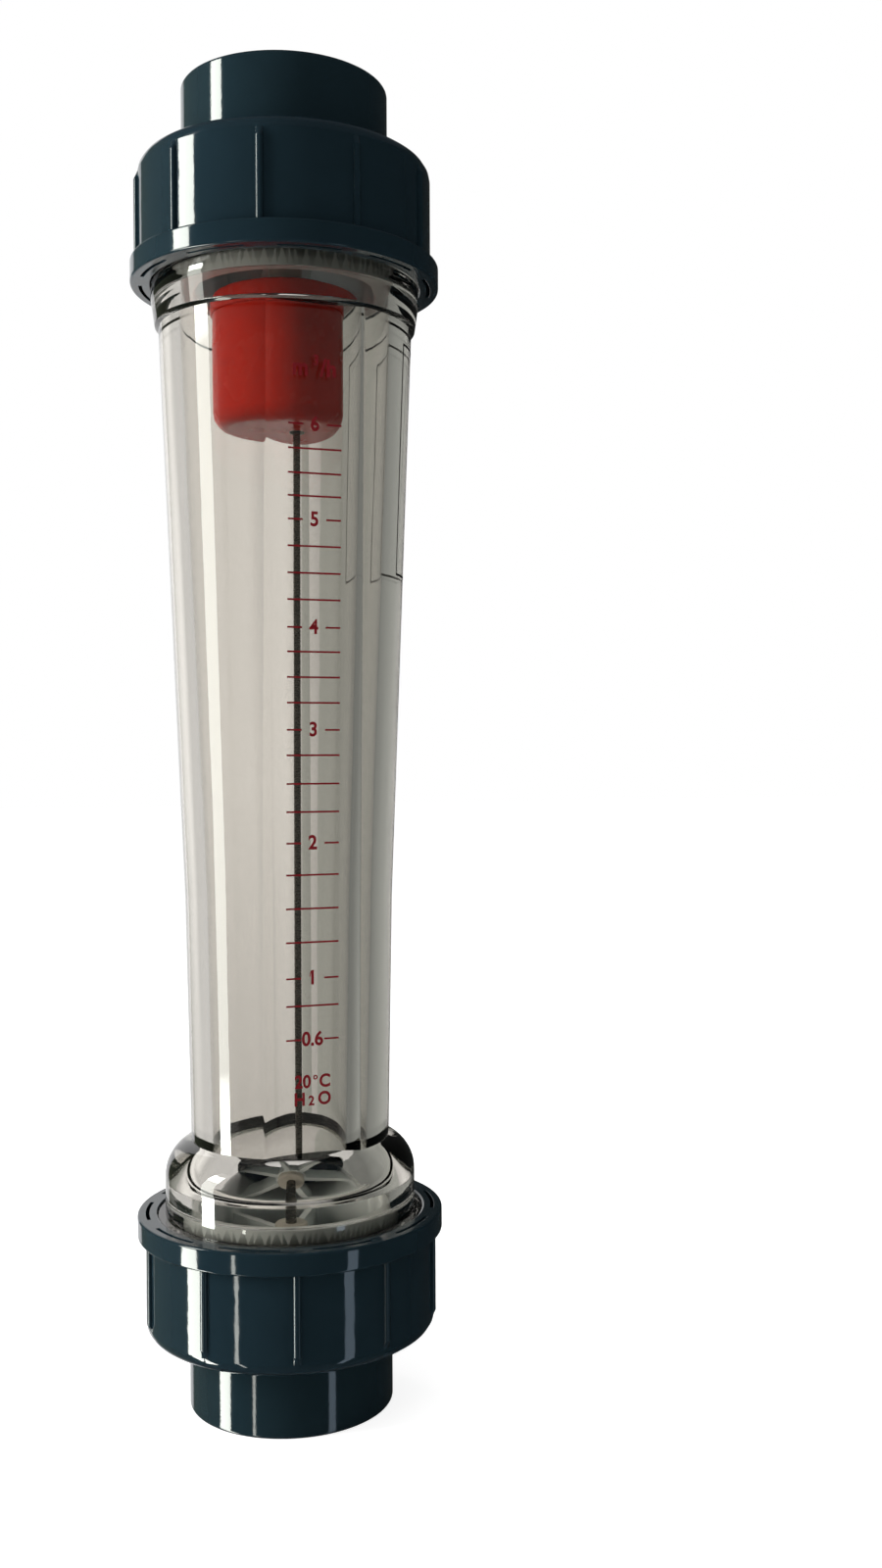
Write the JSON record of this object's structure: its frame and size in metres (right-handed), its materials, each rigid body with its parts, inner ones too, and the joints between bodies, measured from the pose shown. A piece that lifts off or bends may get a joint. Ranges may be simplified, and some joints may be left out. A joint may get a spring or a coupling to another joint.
{
  "type": "rotameter",
  "caption": "Variable-area flow meter: clear tapered plastic tube with flat scale face, red float on a steel guide rod, dark ribbed union nuts and glue-in pipe sockets",
  "frame": {"origin": "centre of the lower end face, on the meter's axis", "axes": "+Z along the axis in the direction of flow; the scale side of the tube faces -Y; +X to the right of a reader"},
  "size_m": [0.111, 0.111, 0.475],
  "materials": {
    "clear_tube": "injection moulded clear SAN, very slightly grey, glossy",
    "nut_plastic": "dark slate ABS, glossy",
    "dark_pvc": "dark grey-blue PVC-U, semi-gloss",
    "support_plastic": "natural polypropylene, off-white and slightly translucent",
    "stainless_rod": "ground stainless steel",
    "seal_rubber": "black rubber",
    "buffer_rubber": "pale silicone rubber",
    "float_plastic": "red moulded polypropylene",
    "weight_steel": "plain machined ring",
    "bush_plastic": "white low-friction plastic"
  },
  "bodies": {
    "meter": {"metering_tube": "clear_tube", "guide_rod": "stainless_rod", "lower_rod_support": "support_plastic", "upper_rod_support": "support_plastic", "lower_support_seal": "seal_rubber", "upper_support_seal": "seal_rubber", "lower_rod_nut": "stainless_rod", "upper_rod_nut": "stainless_rod", "lower_stop_buffer": "buffer_rubber", "upper_stop_buffer": "buffer_rubber"},
    "float": {"float_body": "float_plastic", "float_cap": "float_plastic", "float_weight": "weight_steel", "lower_float_bush": "bush_plastic", "upper_float_bush": "bush_plastic"},
    "lower_connector": {"lower_end_connector": "dark_pvc", "lower_face_seal": "seal_rubber"},
    "lower_nut": {"lower_union_nut": "nut_plastic"},
    "upper_connector": {"upper_end_connector": "dark_pvc", "upper_face_seal": "seal_rubber"},
    "upper_nut": {"upper_union_nut": "nut_plastic"}
  },
  "joints": [
    {"name": "float_slide", "type": "slide", "parent": "meter", "child": "float", "axis": [0, 0, 1], "range_m": [-0.282, 0]},
    {"name": "lower_connector_slide", "type": "slide", "parent": "meter", "child": "lower_connector", "axis": [0, 0, -1], "range_m": [0, 0.03]},
    {"name": "lower_nut_turn", "type": "hinge", "parent": "lower_connector", "child": "lower_nut", "pos_m": [0, 0, 0.049], "axis": [0, 0, -1], "range_deg": [0, 1800]},
    {"name": "upper_connector_slide", "type": "slide", "parent": "meter", "child": "upper_connector", "axis": [0, 0, 1], "range_m": [0, 0.03]},
    {"name": "upper_nut_turn", "type": "hinge", "parent": "upper_connector", "child": "upper_nut", "pos_m": [0, 0, 0.426], "axis": [0, 0, 1], "range_deg": [0, 1800]}
  ],
  "couplings": [
    {"joint": "lower_connector_slide", "follows": "lower_nut_turn", "m_per_rad": 0.00095493},
    {"joint": "upper_connector_slide", "follows": "upper_nut_turn", "m_per_rad": 0.00095493}
  ]
}
